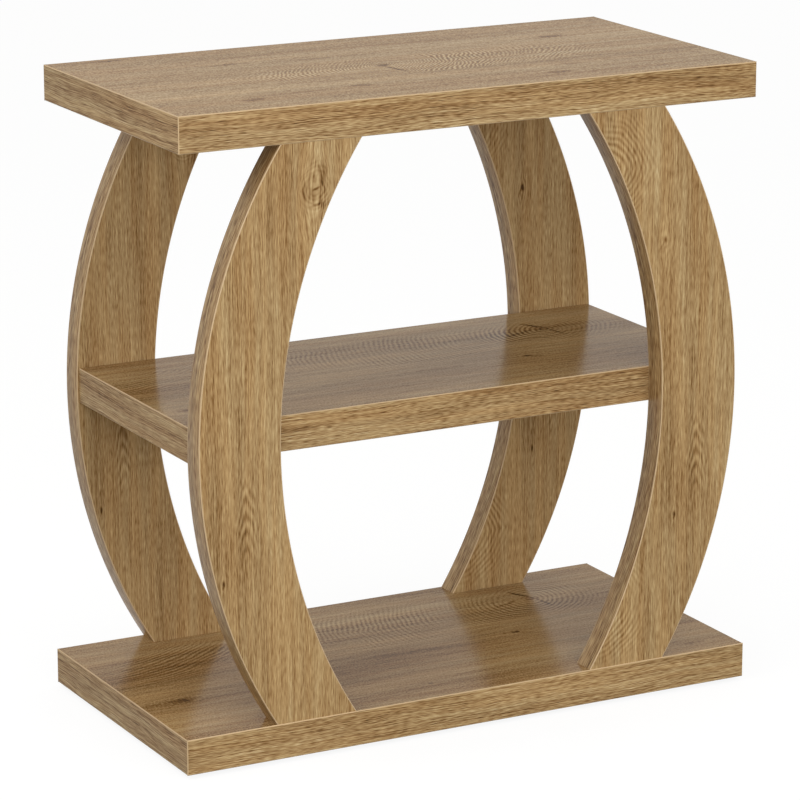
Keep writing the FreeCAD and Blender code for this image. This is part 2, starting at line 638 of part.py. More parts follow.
leg_cam_spots = []
for side in SIDES.values():
    for rank in RANKS.values():
        rear_face = f"{rank} * {LEG_MIDDLE_Y} + {half_leg}"
        leg_cam_spots.append((f"{side} * {HEAD_X}", rear_face, CAM_LEVEL, facing(Z, Y)))

fitting_sets = [
    fitting_set("top_cam_bolts", bolt, at_corners(HEAD_X, LEG_MIDDLE_Y, TOP_UNDERSIDE, HANGING)),
    fitting_set("top_cam_locks", leg_cam, leg_cam_spots),
    fitting_set("top_dowels", dowel, [
        spot for x in beside(HEAD_X) for spot in at_corners(x, LEG_MIDDLE_Y, TOP_UNDERSIDE, HANGING)]),
    fitting_set("shelf_cam_bolts", bolt, [
        spot for x in beside(SHELF_X) for spot in at_shelf(x, SHELF_AXIS)]),
    fitting_set("shelf_cam_locks", shelf_cam, [
        spot for x in beside(SHELF_X) for spot in shelf_cams_at(x)]),
    fitting_set("shelf_dowels", dowel, at_shelf(SHELF_X, SHELF_AXIS)),
    fitting_set("base_screws", screw, [
        spot for x in beside(FOOT_X) for spot in at_corners(x, LEG_MIDDLE_Y, BASE_UNDERSIDE, UPRIGHT)]),
    fitting_set("base_dowels", dowel, at_corners(FOOT_X, LEG_MIDDLE_Y, BASE_FACE, UPRIGHT)),
    fitting_set("foot_glides", glide, at_corners(glide_x, glide_y, "0", UPRIGHT)),
    fitting_set("glide_nails", nail, at_corners(glide_x, glide_y, "0", UPRIGHT)),
]

# The finished pieces, checked and then written
doc.recompute()
boards = [top_board, shelf_board, base_board]
bands = [band for bands in (top_bands, shelf_bands, base_bands) for band in bands.values()]
pieces = boards + bands + legs + leg_bands + fitting_sets
for item in doc.Objects:
    if "Invalid" in item.State or "Error" in item.State:
        raise RuntimeError(f"{item.Label} did not compute: {item.State}")
for piece in pieces:
    if piece.Shape.isNull() or not piece.Shape.isValid():
        raise RuntimeError(f"{piece.Label} has no valid shape")
os.makedirs("parts", exist_ok=True)
for piece in pieces:
    piece.Shape.exportStep(f"parts/{piece.Label}.step")
print(f"{len(pieces)} pieces written")
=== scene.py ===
# %% [markdown]
# # A tiered side table with bowed legs
#
# The table is a flat-pack piece: three chipboard boards and four bowed legs, all faced with a
# printed oak decor and edged with a thin band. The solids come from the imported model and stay
# where they are. This lesson dresses them: it bends smooth bands round the legs, and writes the
# oak, the raw chipboard and the fittings as node materials.

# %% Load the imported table
import math

import bpy
import numpy as np
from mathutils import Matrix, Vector


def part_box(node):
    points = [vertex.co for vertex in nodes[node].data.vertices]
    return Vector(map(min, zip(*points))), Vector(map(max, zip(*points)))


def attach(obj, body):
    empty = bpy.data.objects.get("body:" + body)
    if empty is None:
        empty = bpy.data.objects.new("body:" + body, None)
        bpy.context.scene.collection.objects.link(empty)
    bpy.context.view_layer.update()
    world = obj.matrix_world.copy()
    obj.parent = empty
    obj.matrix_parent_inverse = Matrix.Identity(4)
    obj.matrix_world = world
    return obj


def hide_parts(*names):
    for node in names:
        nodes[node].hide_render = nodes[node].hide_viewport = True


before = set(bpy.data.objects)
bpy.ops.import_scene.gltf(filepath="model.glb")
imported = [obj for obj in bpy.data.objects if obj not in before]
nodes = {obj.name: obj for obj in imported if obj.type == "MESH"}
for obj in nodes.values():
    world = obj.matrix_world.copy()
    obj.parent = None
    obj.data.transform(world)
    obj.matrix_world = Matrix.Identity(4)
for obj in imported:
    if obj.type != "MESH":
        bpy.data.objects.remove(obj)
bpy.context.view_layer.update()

# %% [markdown]
# ## The camera
#
# The table is seen from the front left and a little from above, through a long lens, so its
# uprights stay nearly parallel. A camera could be given a place and three turns. It is easier
# to place by what it looks at: an aim point, a compass angle, an angle above the floor and a
# distance.

# %% Place the camera
AIM = np.array([-0.001, 0.0, 0.2866])
DISTANCE = 3.734
AZIMUTH = math.radians(28.04)
ELEVATION = math.radians(14.81)
LENS_MM = 174.88
SENSOR_MM = 36

forward = np.array([
    math.sin(AZIMUTH) * math.cos(ELEVATION),
    math.cos(AZIMUTH) * math.cos(ELEVATION),
    -math.sin(ELEVATION),
])
camera = bpy.data.objects.new("camera", bpy.data.cameras.new("camera"))
camera.data.lens = LENS_MM
camera.data.sensor_width = SENSOR_MM
camera.location = AIM - DISTANCE * forward
camera.rotation_euler = (math.pi / 2 - ELEVATION, 0, -AZIMUTH)
bpy.context.scene.collection.objects.link(camera)
bpy.context.scene.camera = camera
print("camera at", [round(x, 3) for x in camera.location])

# %% [markdown]
# ## Colours and nodes
#
# Colours are picked on a screen as sRGB hex values, while Blender mixes light in linear
# numbers, so one function turns the first into the second. A second one adds any node to a
# tree: it sets the node's properties, then sets or links its inputs by name or number. A
# third one starts an empty finish.

# %% Helpers for materials
def linear(hex_colour):
    """Linear red, green, blue and alpha of an sRGB hex value."""
    srgb = np.array([int(hex_colour[i:i + 2], 16) for i in (1, 3, 5)]) / 255
    rgb = np.where(srgb <= 0.04045, srgb / 12.92, ((srgb + 0.055) / 1.055) ** 2.4)
    return (*rgb.tolist(), 1.0)


def add(tree, kind, inputs=(), stops=(), **settings):
    """Adds a node. An input that is a node or a socket is linked, and anything else is set.

    stops are the tones of a ramp: pairs of a place between 0 and 1 and a hex colour.
    """
    node = tree.nodes.new(kind)
    for name, value in settings.items():
        setattr(node, name, value)
    if stops:
        tones = node.color_ramp.elements
        tones.remove(tones[1])
        tones[0].position, tones[0].color = stops[0][0], linear(stops[0][1])
        for place, colour in stops[1:]:
            tones.new(place).color = linear(colour)
    pairs = inputs.items() if isinstance(inputs, dict) else enumerate(inputs)
    for key, value in pairs:
        if isinstance(value, bpy.types.Node):
            value = next(socket for socket in value.outputs if socket.enabled)
        if isinstance(value, bpy.types.NodeSocket):
            tree.links.new(value, node.inputs[key])
        else:
            node.inputs[key].default_value = value
    return node


def new_material(name):
    """An empty node material and its tree."""
    material = bpy.data.materials.new(name)
    material.use_nodes = True
    material.node_tree.nodes.clear()
    return material, material.node_tree


print("white is", linear("#ffffff"))

# %% [markdown]
# ## Studio sky
#
# The table stands in an even white room. What the camera and the reflections see of it is
# pure white, while the light that it sheds on the table is weaker, so that the softboxes below
# can model the form. A Light Path node tells the two apart.

# %% White room
SKY_LIGHT = 0.64
PURE_WHITE = linear("#ffffff")


def seen_directly(tree):
    """1 for the camera, mirror reflections and clear glass, and 0 for scattered light."""
    path = add(tree, "ShaderNodeLightPath")
    camera_or_gloss = add(tree, "ShaderNodeMath", [path.outputs["Is Camera Ray"],
                          path.outputs["Is Glossy Ray"]], operation="MAXIMUM")
    return add(tree, "ShaderNodeMath", [camera_or_gloss, path.outputs["Is Transmission Ray"]],
               operation="MAXIMUM")


room = bpy.data.worlds.new("white_room")
room.use_nodes = True
room.node_tree.nodes.clear()
strength = add(room.node_tree, "ShaderNodeMapRange",
               {"Value": seen_directly(room.node_tree), "To Min": SKY_LIGHT, "To Max": 1.0})
white = add(room.node_tree, "ShaderNodeBackground", {"Color": PURE_WHITE, "Strength": strength})
add(room.node_tree, "ShaderNodeOutputWorld", {"Surface": white})
bpy.context.scene.world = room
bpy.context.scene.view_settings.view_transform = "Standard"
print("sky light", SKY_LIGHT)

# %% [markdown]
# ## Floor
#
# The floor is one sheet of matt paper. To the camera and in reflections it has a glow of its
# own, so that it reaches the white of the room and still keeps the table's soft shadow. To
# scattered light it is a darker grey, so that it throws little light up into the undersides.
# Its back is clear, so that the table can also be looked at from below.

# %% Paper floor
FLOOR_GLOW = 0.88
FLOOR_REACH = 9.0
SHOWN_GREY = "#6d6d6c"
BOUNCED_GREY = "#3a3a39"

# Matt paper: an even white ground that shows nothing but the shadow.
paper, tree = new_material("matt_white_paper")
shown = seen_directly(tree)
grey = add(tree, "ShaderNodeMix", {0: shown, 6: linear(BOUNCED_GREY), 7: linear(SHOWN_GREY)},
           data_type="RGBA")
matt = add(tree, "ShaderNodeBsdfDiffuse", {"Color": grey})
glow_strength = add(tree, "ShaderNodeMath", [shown, FLOOR_GLOW], operation="MULTIPLY")
glow = add(tree, "ShaderNodeEmission", {"Color": PURE_WHITE, "Strength": glow_strength})
front = add(tree, "ShaderNodeAddShader", [matt, glow])
from_below = add(tree, "ShaderNodeNewGeometry").outputs["Backfacing"]
back = add(tree, "ShaderNodeBsdfTransparent")
sheet_finish = add(tree, "ShaderNodeMixShader", [from_below, front, back])
add(tree, "ShaderNodeOutputMaterial", {"Surface": sheet_finish})

sheet = bpy.data.meshes.new("floor")
corners = FLOOR_REACH * np.array([[-1, -1, 0], [1, -1, 0], [1, 1, 0], [-1, 1, 0]])
sheet.from_pydata(corners.tolist(), [], [(0, 1, 2, 3)])
sheet.materials.append(paper)
floor = bpy.data.objects.new("floor", sheet)
bpy.context.scene.collection.objects.link(floor)
print("floor", 2 * FLOOR_REACH, "m wide")

# %% [markdown]
# ## Softboxes
#
# Three softboxes model the form. A broad one in front lights the fronts and reaches the rear
# legs past the front ones. A smaller one on the left lifts the left ends, and one overhead lifts
# the faces of the boards. Spots or a sun would cast hard shadows, so each is a broad rectangle
# that looks at the camera's aim.

# %% Front, left and overhead softbox
# Each has a place and its two sides in metres, and a power in watts.
SOFTBOXES = {
    "front_softbox": ((-0.3, -2.0, 0.66), (3.0, 0.8), 30),
    "left_softbox": ((-1.4, -0.3, 1.2), (1.4, 0.9), 6),
    "overhead_softbox": ((0.0, 0.2, 2.6), (1.5, 1.5), 6),
}

for name, (place, sides, watts) in SOFTBOXES.items():
    softbox = bpy.data.lights.new(name, "AREA")
    softbox.shape = "RECTANGLE"
    softbox.size, softbox.size_y = sides
    softbox.energy = watts
    lamp = bpy.data.objects.new(name, softbox)
    lamp.location = place
    lamp.rotation_euler = (lamp.location - Vector(AIM)).to_track_quat("Z", "Y").to_euler()
    bpy.context.scene.collection.objects.link(lamp)
    print(name, watts, "W")

# %% [markdown]
# ## Grain coordinates
#
# A printed decor has a direction. Each oak finish first puts the piece's own coordinates in
# the order along the grain, across it and through it, in millimetres, so that every size
# below is a real one. On the boards the grain runs along the table, and on the legs it runs
# up.

# %% Along, across and through
MM = 0.001


def grain_coordinates(tree, order, offset):
    """Object coordinates as (along, across, through) in millimetres.

    order names the axes that go along, across and through, and offset is then added.
    """
    place = add(tree, "ShaderNodeTexCoord").outputs["Object"]
    axes = add(tree, "ShaderNodeSeparateXYZ", [place])
    turned = add(tree, "ShaderNodeCombineXYZ", [axes.outputs[axis] for axis in order])
    return add(tree, "ShaderNodeVectorMath", [turned, (1 / MM,) * 3, offset],
               operation="MULTIPLY_ADD")


print("grain is measured in millimetres")

# %% [markdown]
# ## Uneven patches
#
# Nothing in wood is even. Long thin patches of noise are its streaks, short ones its pores,
# and wide ones its colour bands. Patches also push the coordinates sideways, so that no streak
# is ruler straight. A wave texture could draw streaks too, but its lines would repeat.

# %% Patches and wandering lines
# Patches this deep hardly change in the thickness of a board.
THROUGH = 40
# Noise seldom swings by more than a third, so three swings are about the whole reach.
SWINGS = 3


def patches(tree, grain, size, detail=0.0):
    """A value that swings about zero, in patches of a size in millimetres.

    It is gradient noise, of the grain coordinates over the size along, across and through.
    """
    scaled = add(tree, "ShaderNodeVectorMath", [grain, size], operation="DIVIDE")
    uneven = add(tree, "ShaderNodeTexNoise", {"Vector": scaled, "Scale": 1.0, "Detail": detail})
    return add(tree, "ShaderNodeMath", [uneven, 0.5], operation="SUBTRACT")


def wandering(tree, grain, size, reach):
    """The grain coordinates, pushed across by patches of a size, by up to about the reach."""
    drift = patches(tree, grain, size, 1.0)
    sideways = add(tree, "ShaderNodeCombineXYZ", {"Y": drift})
    return add(tree, "ShaderNodeVectorMath", [sideways, (0, SWINGS * reach, 0), grain],
               operation="MULTIPLY_ADD")


print("patches: bands, streaks and pores")

# %% [markdown]
# ## Knots
#
# A knot pushes the grain aside and has a dark heart, often with a crack. Both are soft
# ellipses: one holds the share by which the grain is drawn towards the knot's middle, which
# spreads the streaks round it, and others darken the hearts, the cracks and a few long
# streaks. Drawing the coordinates in keeps the streaks whole, where a painted ring would cut
# them.

# %% Soft ellipses
# A mark goes right through the board, so its half axis in that direction is endless.
ENDLESS = 1e6
MARK_CORE = 0.15


def soft_spot(tree, grain, along, across, length, width, turn, strength, core=MARK_CORE):
    """The strength in the middle of an ellipse, falling smoothly to nothing at its edge.

    length and width are half axes in millimetres, turn is in degrees, and the core is the
    share of the ellipse that has the full strength.
    """
    local = add(tree, "ShaderNodeMapping",
                {"Vector": grain, "Location": (along, across, 0),
                 "Rotation": (0, 0, math.radians(turn)), "Scale": (length, width, ENDLESS)},
                vector_type="TEXTURE")
    distance = add(tree, "ShaderNodeVectorMath", [local], operation="LENGTH").outputs["Value"]
    return add(tree, "ShaderNodeMapRange",
               {"Value": distance, "From Min": core, "From Max": 1.0,
                "To Min": strength, "To Max": 0.0}, interpolation_type="SMOOTHSTEP")


print("soft spots: full strength in", MARK_CORE, "of the ellipse")

# %% Bent grain and dark marks
MARK_WOBBLE = (14, 14, 20)
MARK_REACH = 2


def bent_round(tree, grain, knots):
    """Grain that parts round each knot: across goes towards the knot's middle by a share."""
    for along, across, length, width, share in knots:
        pull = soft_spot(tree, grain, along, across, length, width, 0, share, 0.0)
        off = add(tree, "ShaderNodeVectorMath", [grain, (along, across, 0)], operation="SUBTRACT")
        drawn = add(tree, "ShaderNodeVectorMath", {0: off, "Scale": pull}, operation="SCALE")
        grain = add(tree, "ShaderNodeVectorMath", [drawn, (0, -1, 0), grain],
                    operation="MULTIPLY_ADD")
    return grain


def darkened(tree, grain, tone, marks):
    """The tone, less the depth of every mark."""
    crooked = wandering(tree, grain, MARK_WOBBLE, MARK_REACH)
    for mark in marks:
        depth = soft_spot(tree, crooked, *mark)
        tone = add(tree, "ShaderNodeMath", [tone, depth], operation="SUBTRACT")
    return tone


print("knots: parted grain, hearts and cracks")

# %% [markdown]
# ## Growth rings
#
# Round a knot the growth rings show as fine ripples. Close to it they are circles, and
# further along the grain they become arcs with a steady bow. A ring texture gives only the
# circles, so the radius is worked out here, from the distances along and across.

# %% Radius of a growth ring
def ring_radius(tree, grain, along, across, drift, bow, shake):
    """Distance from a knot, as its growth rings go.

    x is the distance from the knot along the grain, and y the distance across it from a line
    that drifts away from the knot's own level. The radius is the root of x squared plus y
    squared times (1 + |x| / bow). shake is the length, width and reach of the wobbles.
    """
    length, width, reach = shake
    scaled = add(tree, "ShaderNodeVectorMath", [grain, (length, width, THROUGH)],
                 operation="DIVIDE")
    wobble = add(tree, "ShaderNodeTexNoise", {"Vector": scaled, "Scale": 1.0, "Detail": 2.0})
    shaken = add(tree, "ShaderNodeVectorMath",
                 [wobble.outputs["Color"], (2 * reach, reach, 0), grain], operation="MULTIPLY_ADD")
    # The wobble's mean is a half, which moves the rings by half of its factors.
    centre = (along + reach, across + reach / 2, 0)
    off = add(tree, "ShaderNodeVectorMath", [shaken, centre], operation="SUBTRACT")
    axes = add(tree, "ShaderNodeSeparateXYZ", [off])
    x = axes.outputs["X"]
    y = add(tree, "ShaderNodeMath", [x, -drift, axes.outputs["Y"]], operation="MULTIPLY_ADD")
    far = add(tree, "ShaderNodeMath", [x], operation="ABSOLUTE")
    flatter = add(tree, "ShaderNodeMath", [far, 1 / bow, 1.0], operation="MULTIPLY_ADD")
    x_squared = add(tree, "ShaderNodeMath", [x, x], operation="MULTIPLY")
    y_squared = add(tree, "ShaderNodeMath", [y, y], operation="MULTIPLY")
    squared = add(tree, "ShaderNodeMath", [y_squared, flatter, x_squared],
                  operation="MULTIPLY_ADD")
    return add(tree, "ShaderNodeMath", [squared], operation="SQRT")


print("ring radius: circles that turn into bowed arcs")

# %% [markdown]
# The rings show in patches and only in part of the board, so each set of rings has a zone, an
# ellipse of its own.

# %% Ripples in a zone
RINGS_MEASURED = 50
RING_PATCH = (60, 50, THROUGH)
RINGS_START, RINGS_FULL = -0.25, 0.1
RING_CORE = 0.5


def rippled(tree, grain, tone, along, across, drift, rings, bow, shake, zone, strength):
    """The tone plus a sine of a power of the ring radius.

    rings is the spacing at RINGS_MEASURED from the knot, in millimetres, and that power: under
    1, the rings widen outwards. The ripple's height is the strength in the middle of the zone,
    times uneven patches.
    """
    spacing, power = rings
    radius = ring_radius(tree, grain, along, across, drift, bow, shake)
    share = add(tree, "ShaderNodeMath", [radius, RINGS_MEASURED], operation="DIVIDE")
    grown = add(tree, "ShaderNodeMath", [share, power], operation="POWER")
    turns = RINGS_MEASURED / power / spacing
    phase = add(tree, "ShaderNodeMath", [grown, math.tau * turns], operation="MULTIPLY")
    ripple = add(tree, "ShaderNodeMath", [phase], operation="SINE")
    height = soft_spot(tree, grain, *zone, strength, RING_CORE)
    patchy = add(tree, "ShaderNodeMapRange", {"Value": patches(tree, grain, RING_PATCH, 1.0),
                 "From Min": RINGS_START, "From Max": RINGS_FULL, "To Max": height})
    return add(tree, "ShaderNodeMath", [ripple, patchy, tone], operation="MULTIPLY_ADD")


print("ripples: growth rings in a zone")

# %% [markdown]
# ## Flames
#
# Where the saw skims a growth ring, the grain closes into nested pointed arches. A leg has one
# run of them up its middle. Slanting lines that meet on a centre line give the points, and a
# little rounding keeps the tips from looking folded.

# %% Arches up the grain
FLAME_WOBBLE = (45, 12, 20)
FLAME_REACH = 2.5
TIP_ROUNDING = 6.0
FLAME_CORE = 0.35


def flamed(tree, grain, tone, along, across, spacing, steep, length, width, strength):
    """The tone with arches added: a sine of x plus steep times the rounded |y|.

    The rounded |y| is the root of y squared plus the tip's rounding in square millimetres.
    """
    shaken = wandering(tree, grain, FLAME_WOBBLE, FLAME_REACH)
    off = add(tree, "ShaderNodeVectorMath", [shaken, (along, across, 0)], operation="SUBTRACT")
    axes = add(tree, "ShaderNodeSeparateXYZ", [off])
    x, y = axes.outputs["X"], axes.outputs["Y"]
    y_squared = add(tree, "ShaderNodeMath", [y, y, TIP_ROUNDING], operation="MULTIPLY_ADD")
    rounded = add(tree, "ShaderNodeMath", [y_squared], operation="SQRT")
    arch = add(tree, "ShaderNodeMath", [rounded, steep, x], operation="MULTIPLY_ADD")
    phase = add(tree, "ShaderNodeMath", [arch, math.tau / spacing], operation="MULTIPLY")
    flame = add(tree, "ShaderNodeMath", [phase], operation="SINE")
    height = soft_spot(tree, grain, along, across, length, width, 0, strength, FLAME_CORE)
    return add(tree, "ShaderNodeMath", [flame, height, tone], operation="MULTIPLY_ADD")


print("flames: nested arches")

# %% [markdown]
# ## Oak tones
#
# To the eye the decor is honey brown with hairlines along the grain, short dark pores and slow
# bands of colour, some a little redder. Every layer moves one tone up or down from about a half,
# and one ramp turns the tone into colour, so that all layers stay in one family of browns. The
# real hairlines are finer than a pixel of the picture, so they are drawn between a half and
# three millimetres wide, to show.

# %% Tone of plain oak
PORE_DEPTH = 8
PORE_STARTS, PORE_FULL = 0.08, 0.2


def oak_tone(tree, grain, level, streaks, pores):
    """The level, plus each set of streaks, less the pores.

    A set is a length and a width in millimetres and a strength. A pore is where a patch is
    well above its average, so pores are sparse and have a sharp edge.
    """
    tone = level
    for length, width, strength in streaks:
        swing = patches(tree, grain, (length, width, THROUGH))
        tone = add(tree, "ShaderNodeMath", [swing, strength, tone], operation="MULTIPLY_ADD")
    length, width, depth = pores
    hole = add(tree, "ShaderNodeMapRange",
               {"Value": patches(tree, grain, (length, width, PORE_DEPTH)),
                "From Min": PORE_STARTS, "From Max": PORE_FULL, "To Max": depth})
    return add(tree, "ShaderNodeMath", [tone, hole], operation="SUBTRACT")


print("a pore is where a patch passes", PORE_STARTS)

# %% Colour of plain oak
OAK_TONES = (
    (0.00, "#4a331c"),
    (0.20, "#78562f"),
    (0.50, "#a5875d"),
    (0.80, "#c3a87a"),
    (1.00, "#d3bf97"),
)
REDDER = "#fff8f0"
WARM_PATCH = (240, 13, THROUGH)
WARM_SWING = 0.12


def oak_colour(tree, grain, tone):
    """The colour of each tone, in places tinted redder, as a dyed print is."""
    honey = add(tree, "ShaderNodeValToRGB", [tone], stops=OAK_TONES)
    warmth = add(tree, "ShaderNodeMapRange", {"Value": patches(tree, grain, WARM_PATCH, 1.0),
                 "From Min": -WARM_SWING, "From Max": WARM_SWING})
    return add(tree, "ShaderNodeMix", {0: warmth, 6: honey, 7: linear(REDDER)},
               data_type="RGBA", blend_type="MULTIPLY")


print(len(OAK_TONES), "tones of oak")

# %% [markdown]
# ## Satin film
#
# The print lies under clear melamine or lacquer, embossed where the pores are. The film is
# satin, mirrors only at a glancing angle, and its dark pores are rougher and lie lower. Gloss
# and relief could have patterns of their own, but here both follow the tone, as on a real
# sheet, where the press plate is matched to the print.

# %% Surface of a printed oak
GLOSS_SWING = 0.1
FILM_IOR = 1.5


def satin_film(tree, colour, tone, roughness, specular, relief):
    """Puts the colour under a satin film with a relief in millimetres that follows the tone."""
    satin = add(tree, "ShaderNodeMapRange", {"Value": tone, "To Min": roughness + GLOSS_SWING,
                "To Max": roughness - GLOSS_SWING})
    emboss = add(tree, "ShaderNodeBump", {"Height": tone, "Strength": 1.0, "Distance": relief * MM})
    film = add(tree, "ShaderNodeBsdfPrincipled",
               {"Base Color": colour, "Roughness": satin, "Normal": emboss,
                "IOR": FILM_IOR, "Specular IOR Level": specular})
    add(tree, "ShaderNodeOutputMaterial", {"Surface": film})


print("satin film: gloss and relief follow the tone")

# %% [markdown]
# ## Faced chipboard
#
# Boards and legs are chipboard with the decor pressed on both faces. Inside a bore or at a cut
# edge the raw chips show. Two materials on one piece could show that. Here the normal tells the
# two apart, because only the faces look straight through the grain, and the mesh stays as it is.

# %% Decor on the faces, chips elsewhere
CHIP_TONES = (
    (0.25, "#7d6444"),
    (0.50, "#b49871"),
    (0.75, "#d8c49f"),
)
CHIP_SIZE = (4.5, 2.5, 2.5)
FACE_SWEEP = (220, 45, 60)
FACE_REACH = 3
SQUARE_TO_FACE = 0.5


def raw_chips(tree, grain):
    """Pale and dark chips, a few millimetres long."""
    chip = add(tree, "ShaderNodeMath", [patches(tree, grain, CHIP_SIZE, 2.0), 0.5],
               operation="ADD")
    return add(tree, "ShaderNodeValToRGB", [chip], stops=CHIP_TONES)


def faced(name, order, offset, knots, marks, rings, flames, level, streaks, pores, gloss):
    """A finish of pressed oak decor, with its figure, over raw chipboard.

    A knot is along, across, half length, half width and the share by which the grain parts. A
    mark is along, across, half length, half width, turn and depth. Rings and flames are what
    rippled and flamed take. gloss is the roughness, the specular level and the relief in
    millimetres.
    """
    material, tree = new_material(name)
    grain = grain_coordinates(tree, order, offset)
    parted = bent_round(tree, wandering(tree, grain, FACE_SWEEP, FACE_REACH), knots)
    tone = oak_tone(tree, parted, level, streaks, pores)
    for ring_set in rings:
        tone = rippled(tree, grain, tone, *ring_set)
    for flame_set in flames:
        tone = flamed(tree, grain, tone, *flame_set)
    tone = darkened(tree, grain, tone, marks)
    oak = oak_colour(tree, parted, tone)

    normal = add(tree, "ShaderNodeNewGeometry").outputs["True Normal"]
    through = add(tree, "ShaderNodeSeparateXYZ", [normal]).outputs[order[2]]
    squareness = add(tree, "ShaderNodeMath", [through], operation="ABSOLUTE")
    on_face = add(tree, "ShaderNodeMath", [squareness, SQUARE_TO_FACE], operation="GREATER_THAN")
    colour = add(tree, "ShaderNodeMix", {0: on_face, 6: raw_chips(tree, grain), 7: oak},
                 data_type="RGBA")
    satin_film(tree, colour, tone, *gloss)
    return material


print(len(CHIP_TONES), "tones of chipboard")

# %% [markdown]
# ## Decor of the top
#
# The top has a cracked knot near its middle with ripples along the board on both sides, a few
# soft swirls and some long dark streaks. Noise alone would put such figures anywhere, so each
# is set out by its place on the board. The top is seen at a glancing angle, which hides what
# is fine across the grain, so its streaks are drawn wider than they are.

# %% Finish of the top
BOARD_GRAIN = "XYZ"
BOARD_PORES = (7, 1.2, 0.1)

# Pressed melamine: pale honey oak with only a faint sheen.
top_finish = faced(
    "oak_melamine_top", BOARD_GRAIN, (0, 0, 0),
    knots=[(-18, 0, 70, 26, 0.75), (200, 67, 55, 22, 0.7), (-205, -110, 60, 22, 0.7),
           (-240, 138, 60, 16, 0.6), (110, -110, 60, 20, 0.6)],
    marks=[(-20, -2, 12, 9, 0, 0.45), (-19, -24, 25, 3, -76, 0.55), (200, 67, 22, 9, 0, 0.24),
           (-205, -108, 20, 10, 10, 0.26), (-240, 138, 26, 7, 0, 0.2), (-88, -88, 18, 8, 0, 0.22),
           (140, -77, 26, 7, 0, 0.2), (105, -110, 26, 8, 0, 0.22), (-150, 68, 34, 6, 0, 0.2),
           (-40, 60, 110, 5, 0, 0.18), (-160, -94, 70, 5, 2, 0.2)],
    rings=[(-18, 2, 0.25, (4.2, 0.75), 70, (50, 30, 12), (10, -8, 250, 64, 0), 0.26)],
    flames=[],
    level=0.5,
    streaks=[(500, 30, 0.25), (220, 8, 0.18), (60, 3, 0.2), (1.5, 2.5, 0.65)],
    pores=BOARD_PORES,
    gloss=(0.22, 0.014, 0.03))
print(top_finish.name)

# %% [markdown]
# ## Decor of the shelf and the base
#
# The shelf and the base are cut from the same printed sheet, so both show the same ringed and
# cracked knot near the right end, a small knot in front of it, and rings that sweep in at the
# left. On the shelf the print lies 20 mm nearer the front. On the base it is glossier, and its
# lower level is painted shade that darkens the lowest board. One set of figures serves both,
# and only these values differ.

# %% Finishes of the shelf and the base
RIGHT_KNOT = (187, 72, 0.24, (5.6, 1.0), 400, (60, 35, 6))
LEFT_SWEEP = (-308, 261, 0, (5.4, 1.0), 4000, (70, 45, 12))
SHELF_SHIFT = (0, 20, 0)

low_decor = dict(
    knots=[(187, 72, 80, 40, 0.5), (120, -14, 45, 16, 0.8), (-256, -47, 55, 24, 0.8),
           (255, -127, 55, 22, 0.7)],
    marks=[(187, 72, 12, 10, 0, 0.2), (183.5, 88, 20, 3.2, -62, 0.65),
           (194, 57, 20, 2.4, -80, 0.4), (159, 68, 28, 3, 23, 0.3), (120, -14, 7, 4, 0, 0.4),
           (128, -20, 14, 5, -20, 0.15), (-256, -47, 16, 8, 0, 0.26), (255, -127, 22, 8, 0, 0.16),
           (-10, -20, 75, 5, 0, 0.16), (-28, -112, 4, 2, 0, 0.3)],
    rings=[(*RIGHT_KNOT, (20, 58, 190, 70, 0), 0.15), (*RIGHT_KNOT, (190, 66, 92, 58, 0), 0.18),
           (*LEFT_SWEEP, (-215, 60, 95, 52, 22), 0.17)],
    flames=[],
    streaks=[(300, 70, 0.5), (260, 14, 0.28), (60, 3, 0.32), (1.5, 2.5, 0.5)],
    pores=BOARD_PORES)
# Pressed melamine: smooth brown oak in which the legs behind it are mirrored softly.
shelf_finish = faced("oak_melamine_shelf", BOARD_GRAIN, SHELF_SHIFT, level=0.47,
                     gloss=(0.17, 0.037, 0.02), **low_decor)
# The base's lower level is painted shade: the same print set darker for the lowest board.
base_finish_with_painted_shade = faced("oak_melamine_base_painted_shade", BOARD_GRAIN, (0, 0, 0), level=0.42,
                    gloss=(0.17, 0.055, 0.02), **low_decor)
print(shelf_finish.name, base_finish_with_painted_shade.name)

# %% [markdown]
# ## Decor of the legs
#
# All four legs share one decor, with the grain upright: a run of flames low in the middle, a
# ringed and cracked knot near the head, two small dark knots, and arcs of rings from two knots
# beyond the edge. A decor for each leg would be four lists to keep. Left and right legs are cut
# from different places of one sheet, so only their offsets differ.

# %% Finishes of the legs
LEG_GRAIN = "ZXY"
LEFT_CUT, RIGHT_CUT = (0, 237, 0), (0, -242, 0)

leg_decor = dict(
    knots=[(535, 71, 55, 22, 0.85), (452, -38.5, 34, 13, 0.8), (180, -24, 30, 6, 0.6)],
    marks=[(537, 71, 24, 13, 6, 0.15), (537, 71.5, 5, 2, 68, 0.45), (554, 78, 14, 6, -25, 0.18),
           (544, 77.5, 15, 2.2, -10, 0.35), (536, 60, 14, 2, -5, 0.28), (522, 71, 9, 2.2, 80, 0.3),
           (522, 79, 6, 4, 0, 0.3), (511, 78, 12, 4, 0, 0.16), (452, -38.5, 5, 4, 0, 0.4),
           (447, -42, 10, 2, 25, 0.2), (180, -24, 6, 2, 0, 0.4), (215, -14, 90, 28, 0, 0.07)],
    rings=[(525, -105, 0, (5.6, 1.0), 60, (50, 30, 7), (525, -95, 66, 52, 0), 0.16),
           (100, -105, 0, (5.8, 1.0), 60, (50, 30, 7), (100, -95, 72, 52, 0), 0.16),
           (536, 71, 0.1, (4.2, 1.0), 20, (16, 11, 3.5), (537, 71, 30, 19, 6), -0.36)],
    flames=[(240, 0, 15, 3.4, 58, 14, 0.13)],
    level=0.54,
    streaks=[(380, 15, 0.32), (160, 4, 0.18), (60, 0.7, 0.6), (8, 0.6, 0.65)],
    pores=(4, 0.6, 0.08),
    gloss=(0.4, 0.05, 0.06))
